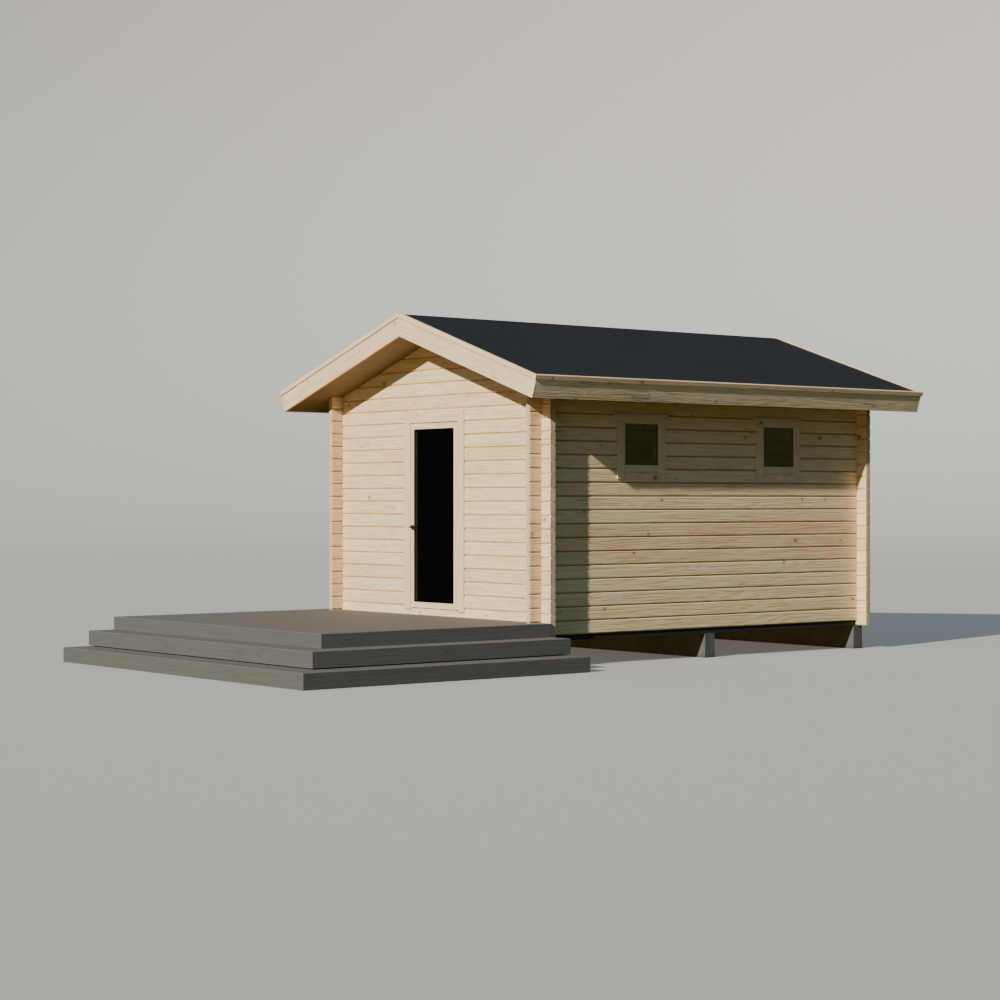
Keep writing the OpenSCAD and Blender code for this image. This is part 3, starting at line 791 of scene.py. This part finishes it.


# The door pane's dark tint is painted shade: it stands in for the dark room behind it. The dark
# tint fades beside the lever's stile, so that the stile's inner side shows there.
door_pane = pane_finish("door pane", (0.13, 0.105, 0.07, 1), 1.2, (1, 1, 1, 1))
tree = door_pane.node_tree
across = shade(tree, "SeparateXYZ", own_place(tree)).outputs[0]
fade_start, fade_end, edge_alpha = x0 + 0.045, x0 + 0.065, 0.45
tinted = ramp(tree, across, fade_start, fade_end, edge_alpha, 1.0)
lead(tree, tree.nodes["Principled BSDF"].inputs, Alpha=tinted)
bm = bmesh.new()
plank(bm, glass_low, (glass_high.x, glass_high.y - seal, glass_high.z), pane_ease)
place("door_pane", bm, door_pane, "door", "pane_glass", "door_glass")


# Door hardware: a satin black lever on round rosettes, and pivots at the leaf's top and bottom
# right corners, where blackened pins turn in steel sockets let into the timber.
black, tree, surface = finish("satin black", Specular_IOR_Level=0.12)
at = own_place(tree)
grain = noise(tree, at, 900.0, 2.0)
smear = noise(tree, at, 30.0, 3.0)
tone = mix(tree, smear, (0.006, 0.006, 0.006, 1), (0.012, 0.011, 0.010, 1))
gloss = ramp(tree, smear, 0.3, 0.7, 0.42, 0.55)
lead(tree, surface.inputs, Base_Color=tone, Roughness=gloss)
relief(tree, surface, grain, 0.1, 0.0002)

turned_steps = 40


def turned(bm, outline, centre, axis):
    """Turns an outline of (radius, height) points once round an axis through a centre."""
    start = set(bm.verts)
    chain = [bm.verts.new((radius, 0, height)) for radius, height in outline]
    spun_round(bm, chain, turned_steps)
    made = [vert for vert in bm.verts if vert not in start]
    bmesh.ops.remove_doubles(bm, verts=made, dist=0.00001)
    made = [vert for vert in bm.verts if vert not in start]
    turn = axis.to_track_quat("Z", "Y").to_matrix().to_4x4()
    bmesh.ops.transform(bm, matrix=Matrix.Translation(centre) @ turn, verts=made)
    faces = {face for vert in made for face in vert.link_faces}
    bmesh.ops.recalc_face_normals(bm, faces=list(faces))


def smooth(piece, angle=35):
    """Smooth shading on rounded faces, with the edges over the angle kept sharp."""
    mesh = piece.data
    mesh.polygons.foreach_set("use_smooth", [True] * len(mesh.polygons))
    mesh.set_sharp_from_angle(angle=math.radians(angle))


rose_low, rose_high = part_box("door_rosettes")
rose = (rose_high.x - rose_low.x) / 2
rose_thick = 0.008
neck = 0.0095
lever_at = Vector(((rose_low.x + rose_high.x) / 2, 0, (rose_low.z + rose_high.z) / 2))
bm = bmesh.new()
for face_y, out in ((leaf_low.y, -Y), (leaf_high.y, Y)):
    outline = [
        (neck, 0), (rose, 0), (rose, rose_thick - 0.002), (rose - 0.0006, rose_thick - 0.0006),
        (rose - 0.002, rose_thick), (neck + 0.004, rose_thick), (neck, rose_thick - 0.001),
        (neck, 0),
    ]
    turned(bm, outline, Vector((lever_at.x, face_y, lever_at.z)), out)
smooth(place("door_rosette_pair", bm, black, "door", "black_metal", "door_rosettes"))


def drawn(bm, faces, move):
    """Draws faces out by a move, and returns the faces at the new end."""
    parts = bmesh.ops.extrude_face_region(bm, geom=faces)["geom"]
    ring = [part for part in parts if isinstance(part, bmesh.types.BMVert)]
    bmesh.ops.translate(bm, verts=ring, vec=move)
    return [part for part in parts if isinstance(part, bmesh.types.BMFace)]


lever_low, lever_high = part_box("door_lever")
grip = (lever_high.z - lever_low.z) / 2
bend, off_leaf = 0.014, 0.001
bm = bmesh.new()
for out in (-1, 1):
    reach_y = lever_low.y + grip if out < 0 else lever_high.y - grip
    near_y = leaf_low.y - off_leaf if out < 0 else leaf_high.y + off_leaf
    start = set(bm.verts)
    facing = (Y * out).to_track_quat("Z", "X").to_matrix().to_4x4()
    where = Matrix.Translation((0, near_y, 0)) @ facing
    disc = bmesh.ops.create_circle(bm, cap_ends=True, segments=24, radius=grip, matrix=where)
    face = disc["verts"][0].link_faces[0]
    cap = drawn(bm, [face], (0, reach_y - out * bend - near_y, 0))
    spun = bmesh.ops.spin(
        bm,
        geom=cap,
        cent=(bend, reach_y - out * bend, 0),
        axis=(0, 0, -out),
        angle=math.radians(90),
        steps=6,
    )["geom_last"]
    tip = [part for part in spun if isinstance(part, bmesh.types.BMFace)]
    cap = drawn(bm, tip, (lever_high.x - lever_at.x - bend - grip * 0.4, 0, 0))
    # Two insets dome the lever's tip.
    for inward, forward in ((0.25, 0.25), (0.35, 0.15)):
        bmesh.ops.inset_region(bm, faces=cap, thickness=grip * inward, depth=grip * forward * 0.7)
    made = [vert for vert in bm.verts if vert not in start]
    bmesh.ops.transform(bm, matrix=Matrix.Translation((lever_at.x, 0, lever_at.z)), verts=made)
bmesh.ops.remove_doubles(bm, verts=bm.verts, dist=0.00005)
bmesh.ops.recalc_face_normals(bm, faces=bm.faces)
smooth(place("door_lever_pair", bm, black, "door", "black_metal", "door_lever"), 50)

for node, metal, body in (("door_pivots", black, "cabin"), ("door_pivot_sockets", steel, "door")):
    bm = merged(node)
    ease_edges(bm, 0.0005, crease=40, shortest=0.003)
    smooth(place(node + "_steel", bm, metal, body, "pivot_steel", node))


# Windows: two small fixed frames in the right-hand wall. Each pane lies in a rebate in the
# frame's outer face, on a black seal, and casing boards are nailed round it outside.
low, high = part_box("window_frames")
window_at, window_wide, window_jamb, window_seal = 1.045, 0.486, 0.025, 0.011
cuts = []
for side in (-1, 1):
    for edge in (-1, 1):
        cuts.append(((0, side * window_at + edge * window_wide / 2, 0), Y))


def window_rule(centre):
    """A rule for both frames: jambs run up, and heads and sills run along the wall."""
    middle = window_at if centre.y > 0 else -window_at
    number = 31 if centre.y > 0 else 41
    if abs(centre.y - middle) > window_wide / 2:
        return Z, Y, number + (1 if centre.y > middle else 2)
    return Y, Z, number + (3 if centre.z > (low.z + high.z) / 2 else 4)


worked("window_frame_timber", "window_frames", joinery, window_rule, ease=0.0015, cuts=cuts)

# Painted reflection: the yellow gleam tints what the panes reflect olive.
window_pane = pane_finish("window pane", (0.42, 0.37, 0.10, 1), 1.5, (1.0, 0.96, 0.45, 1))
bm, ring = bmesh.new(), bmesh.new()
pane_low, pane_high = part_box("window_glass")
half_pane = pane_high.y - window_at
for side in (-1, 1):
    y0, y1 = side * window_at - half_pane, side * window_at + half_pane
    plank(bm, (pane_low.x + seal, y0, pane_low.z), (pane_high.x, y1, pane_high.z), pane_ease)
    pane_corners = (y0, pane_low.z), (y1, pane_high.z)
    frame_ring(ring, *pane_corners, window_seal, Y, Z, pane_low.x, pane_low.x + seal)
place("window_panes", bm, window_pane, "cabin", "pane_glass", "window_glass")
place("window_glazing_seals", ring, rubber, "cabin", "black_metal")

for node, along, across in (
    ("window_casing_heads", Y, Z),
    ("window_casing_sides", Z, Y),
    ("window_casing_aprons", Y, Z),
):
    worked(
        node + "_boards", node, joinery,
        lambda centre: (along, across, round(centre.y / 0.25) + len(node)),
    )

head_low, head_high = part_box("window_casing_heads")
side_low, side_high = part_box("window_casing_sides")
bm = bmesh.new()
nail_low, nail_pitch = 0.05, 0.245
for side in (-1, 1):
    middle = side * window_at
    reach = (high.y - window_at) - window_jamb + casing - nail_in
    for y in (middle - reach, middle + reach):
        nails(bm, [(side_high.x, y, side_low.z + nail_low + i * nail_pitch) for i in range(3)], X)
        nails(bm, [(head_high.x, y, z) for z in (head_low.z + nail_in, head_high.z - nail_in)], X)
    nails(bm, [(head_high.x, middle, z) for z in (head_low.z + nail_in, head_high.z - nail_in)], X)
place("window_casing_nails", bm, steel, "cabin", "pivot_steel")


# Ceiling and soffit: tongued and grooved boards under the rafters, running along the cabin and
# out over the gables and eaves. They are warmer than the logs, and far darker: that darkness is
# painted shade, for the shade under the roof.
roof_pitch = math.radians(18.3)
low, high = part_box("ceiling_right")
ceiling_thick = 0.020
ridge_z = high.z - ceiling_thick / math.cos(roof_pitch)
ceiling_length = (high.x - ceiling_thick * math.sin(roof_pitch)) / math.cos(roof_pitch)
# Painted shade: the soffit is coloured far darker than the logs, as it looks in the roof's shade.
soffit = timber(
    "soffit spruce", (0.25, 0.165, 0.068, 1), (0.165, 0.093, 0.033, 1), (0.10, 0.04, 0.015, 1),
    rings=14.0, knots=0.4,
)
onto_slope = Matrix.Translation((0, 0, ridge_z)) @ Matrix.Rotation(roof_pitch, 4, "Y")
over_left = Matrix.Diagonal((-1, 1, 1, 1))


def laid_on_slope(bm, side):
    """Moves boards from the flat onto one slope, and cuts them along the ridge."""
    bmesh.ops.transform(bm, matrix=onto_slope, verts=bm.verts)
    whole = bm.verts[:] + bm.edges[:] + bm.faces[:]
    bmesh.ops.bisect_plane(
        bm, geom=whole, dist=0.00001, plane_co=(0, 0, 0), plane_no=(-1, 0, 0), clear_outer=True
    )
    open_edges = [edge for edge in bm.edges if edge.is_boundary]
    if open_edges:
        bmesh.ops.holes_fill(bm, edges=open_edges, sides=0)
    if side < 0:
        bmesh.ops.transform(bm, matrix=over_left, verts=bm.verts)
        bmesh.ops.reverse_faces(bm, faces=bm.faces)


past_ridge, ceiling_pitch, ceiling_bevel = 0.010, 0.095, 0.0035
for side, node in ((1, "ceiling_right"), (-1, "ceiling_left")):
    bm = bmesh.new()
    for i, (s0, s1) in enumerate(rows(-past_ridge, ceiling_length, ceiling_pitch)):
        start, end = (s0 + hair_gap, low.y, 0), (s1 - hair_gap, high.y, ceiling_thick)
        plank(bm, start, end, ceiling_bevel, Y, X, 50 + i * side)
    laid_on_slope(bm, side)
    place(node + "_boards", bm, soffit, "cabin", "soffit_wood", node)


# Rafters and roof deck: sawn spruce rafters in pairs, with a rough deck laid across them. The
# ceiling, fascias and felt close them in, so they have no finer shape.
for node, along, across in (("rafters", X, Z), ("roof_deck", Y, X)):
    bm = merged(node, [((0, 0, 0), X)])
    fibres(bm, lambda centre: (along, across, round(centre.y / 0.6) + (20 if centre.x > 0 else 40)))
    place(node + "_timber", bm, sawn, "cabin", "roof_timber", node)


# Roofing: three lengths of mineral felt a slope, laid from the eave up, each lapping the one
# below, with a strip folded over the ridge.
felt, tree, surface = finish("mineral felt", Roughness=0.9, Specular_IOR_Level=0.12)
at = own_place(tree)
grit = shade(tree, "TexVoronoi", at, None, 420.0).outputs
speck = shade(tree, "SeparateColor", grit["Color"]).outputs[0]
patch = noise(tree, at, 1.3, 4.0, 0.6)
tone = mix(tree, speck, (0.008, 0.009, 0.012, 1), (0.026, 0.028, 0.034, 1))
tone = mix(tree, ramp(tree, patch, 0.35, 0.7, 0.0, 0.30), tone, (0.024, 0.026, 0.032, 1))
lead(tree, surface.inputs, Base_Color=tone)
grains = times(tree, grit["Distance"], -0.5)
waves = times(tree, noise(tree, at, 2.2, 2.0, 0.5), 3.0)
relief(tree, surface, plus(tree, grains, waves), 0.5, 0.002)
low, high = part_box("roof_felt")
rafter_high, deck_thick = 0.175, 0.028
deck_top = ceiling_thick + rafter_high + deck_thick
felt_top = -deck_top * math.tan(roof_pitch)
felt_edge = 2.3628
felt_width, felt_lap, felt_bed, felt_sheet, felt_rise = 0.80, 0.10, 0.0050, 0.0012, 0.0013
bed_ease, sheet_ease = 0.0010, 0.0005
cap_reach, cap_past, sheet_past = 0.06, 0.002, 0.0016
courses = rows(0.0, felt_edge, felt_width)
bm = bmesh.new()
for side in (1, -1):
    sheets = bmesh.new()
    bed_top = deck_top + felt_bed
    plank(sheets, (felt_top, low.y, deck_top), (felt_edge, high.y, bed_top), bed_ease, Y, X, 59)
    cap_start = felt_top - cap_past, low.y, bed_top + felt_sheet
    cap_end = cap_reach, high.y, bed_top + 2 * felt_sheet
    plank(sheets, cap_start, cap_end, sheet_ease, Y, X, 58)
    for i, (s0, s1) in enumerate(courses):
        top = s0 - felt_lap if i else felt_top - sheet_past
        sheet = bmesh.new()
        plank(sheet, (top, low.y, 0), (s1, high.y, felt_sheet), sheet_ease, Y, X, 60 + i)
        lean = Matrix.Rotation(-math.atan2(felt_rise, s1 - top), 4, "Y")
        lift = Matrix.Translation((top, 0, bed_top)) @ lean @ Matrix.Translation((-top, 0, 0))
        bmesh.ops.transform(sheet, matrix=lift, verts=sheet.verts)
        flat = bpy.data.meshes.new("sheet")
        sheet.to_mesh(flat)
        sheet.free()
        sheets.from_mesh(flat)
    laid_on_slope(sheets, side)
    flat = bpy.data.meshes.new("slope")
    sheets.to_mesh(flat)
    sheets.free()
    bm.from_mesh(flat)
place("roof_felt_lengths", bm, felt, "cabin", "roof_felt", "roof_felt")


# Barge boards, fascias and trims: wide planed boards close the gables, rough sawn fascias close
# the eaves, and a narrow trim along their top holds the felt's edge down.
edge_board = timber(
    "edge board pine", (0.77, 0.60, 0.40, 1), (0.60, 0.405, 0.22, 1), (0.27, 0.13, 0.06, 1),
    rings=11.0, knots=0.30, streaks=0.9, checks=0.3, bump=0.45, worn=0.35,
)
fascia_board = timber(
    "rough sawn pine", (0.86, 0.71, 0.49, 1), (0.62, 0.45, 0.26, 1), (0.24, 0.12, 0.06, 1),
    rings=13.0, knots=0.42, streaks=1.0, checks=0.4, bump=1.0, depth=0.004, worn=0.5, rough=0.1,
)
down_right = Vector((math.cos(roof_pitch), 0, -math.sin(roof_pitch)))
down_left = Vector((-math.cos(roof_pitch), 0, -math.sin(roof_pitch)))
out_right = Vector((math.sin(roof_pitch), 0, math.cos(roof_pitch)))
out_left = Vector((-math.sin(roof_pitch), 0, math.cos(roof_pitch)))
trim_back, same_edge = 0.006, 0.001


def set_back(bm, amount):
    """Draws the lowest edges in, up each slope."""
    lip = max(vert.co.dot(down_right) for vert in bm.verts) - same_edge
    for vert in bm.verts:
        slope = down_right if vert.co.x > 0 else down_left
        if vert.co.dot(slope) > lip:
            vert.co -= slope * amount


def sloping(number):
    """A rule for a board that follows the slope it is on."""

    def rule(centre):
        if centre.x > 0:
            return down_right, out_right, number
        return down_left, out_left, number + 1

    return rule


barges = ("barge_front_left", "barge_front_right", "barge_back_left", "barge_back_right")
for i, node in enumerate(barges):
    worked(node + "_board", node, edge_board, sloping(80 + 2 * i), ease=0.003)
for i, node in enumerate(("barge_trim_front", "barge_trim_back")):
    bm = merged(node, [((0, 0, 0), X)])
    set_back(bm, trim_back)
    ease_edges(bm, 0.002)
    fibres(bm, sloping(90 + 2 * i))
    place(node + "_batten", bm, edge_board, "cabin", "board_wood", node)
for i, node in enumerate(("fascia_left", "fascia_right", "eave_trims")):
    bm = merged(node)
    if node == "eave_trims":
        set_back(bm, trim_back)
    ease_edges(bm, 0.0025)

    def along_eave(centre):
        return Y, out_right if centre.x > 0 else out_left, 100 + i * 3 + (centre.x > 0)

    fibres(bm, along_eave)
    board = edge_board if node == "eave_trims" else fascia_board
    place(node + "_board", bm, board, "cabin", "board_wood", node)


# Terrace: three tiers of weathered decking timber. Each has rim boards on edge round its
# joists, and deck boards screwed down between the rims with a gap between boards.
grey_early, grey_late = (0.090, 0.088, 0.083, 1), (0.073, 0.071, 0.067, 1)
weathered = timber(
    "weathered rim", grey_early, grey_late, (0.070, 0.063, 0.055, 1),
    rings=8.0, knots=0.08, streaks=0.8, checks=0.30, bump=0.6, worn=0.8, rough=0.22,
)
# The deck boards are paler than the rims: partly weathered tone, partly painted sheen of the treads.
sheen_pale_decking = timber(
    "weathered decking", (0.118, 0.106, 0.092, 1), (0.090, 0.081, 0.070, 1),
    (0.06, 0.052, 0.043, 1), rings=9.0, knots=0.12, streaks=0.9, checks=0.36,
    bump=0.7, worn=0.4, rough=0.20,
)
rim, joist_pitch = 0.045, 0.6
deck_pitch, deck_gap, deck_ease, shortest_board = 0.120, 0.005, 0.003, 0.03
log_bay, corner_out, corner_gap = 0.075, 0.150, 0.005
screw_off, screw_in, screw_radius, screw_proud = 0.012, 0.03, 0.0045, 0.0005
screwed_top, screwed_front = 3.0, 0.30
wall_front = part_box("front_wall_base")[0].y


def tier_rule(low, high):
    """A rule for a tier's frame: front rim across, side rims and joists along."""

    def rule(centre):
        if centre.y < low.y + rim:
            return X, Z, 111
        if centre.y > high.y - rim and low.x + rim < centre.x < high.x - rim:
            return X, Z, 112
        return Y, Z, 113 + round(centre.x / 0.4)

    return rule


for tier in ("low", "middle", "top"):
    node = "terrace_frame_" + tier
    low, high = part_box(node)
    cuts = [((0, low.y + rim, 0), Y), ((low.x + rim, 0, 0), X), ((high.x - rim, 0, 0), X)]
    worked(node + "_timber", node, weathered, tier_rule(low, high), 0.003, "deck_wood", cuts)

screws = bmesh.new()
for number, tier in enumerate(("low", "middle", "top")):
    node = "terrace_boards_" + tier
    low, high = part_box(node)
    bay_y = wall_front - corner_out - corner_gap
    bm = bmesh.new()
    for i, (y0, y1) in enumerate(rows(low.y, high.y, deck_pitch)):
        stretches = [(low.x, high.x)]
        if y1 > bay_y + same_edge:
            inner, outer = wall_right - log_bay, wall_right + corner_gap
            stretches = [(low.x, -outer), (-inner, inner), (outer, high.x)]
            if tier != "top":
                stretches = [(low.x, -outer - rim), (outer + rim, high.x)]
        for x0, x1 in stretches:
            if x1 - x0 > shortest_board:
                start, end = (x0, y0 + deck_gap / 2, low.z), (x1, y1 - deck_gap / 2, high.z)
                plank(bm, start, end, deck_ease, X, Y, 130 + 40 * number + i)
        shown = y1 > bay_y - screwed_top and tier == "top" or y0 < low.y + screwed_front
        if shown and y1 < bay_y:
            for _, x in rows(low.x, high.x, joist_pitch)[:-1]:
                heads = [(x - screw_off, y, high.z) for y in (y0 + screw_in, y1 - screw_in)]
                nails(screws, heads, Z, screw_radius, screw_proud)
    place(node + "_decking", bm, sheen_pale_decking, "cabin", "deck_wood", node)
place("terrace_screws", screws, steel, "cabin", "pivot_steel")
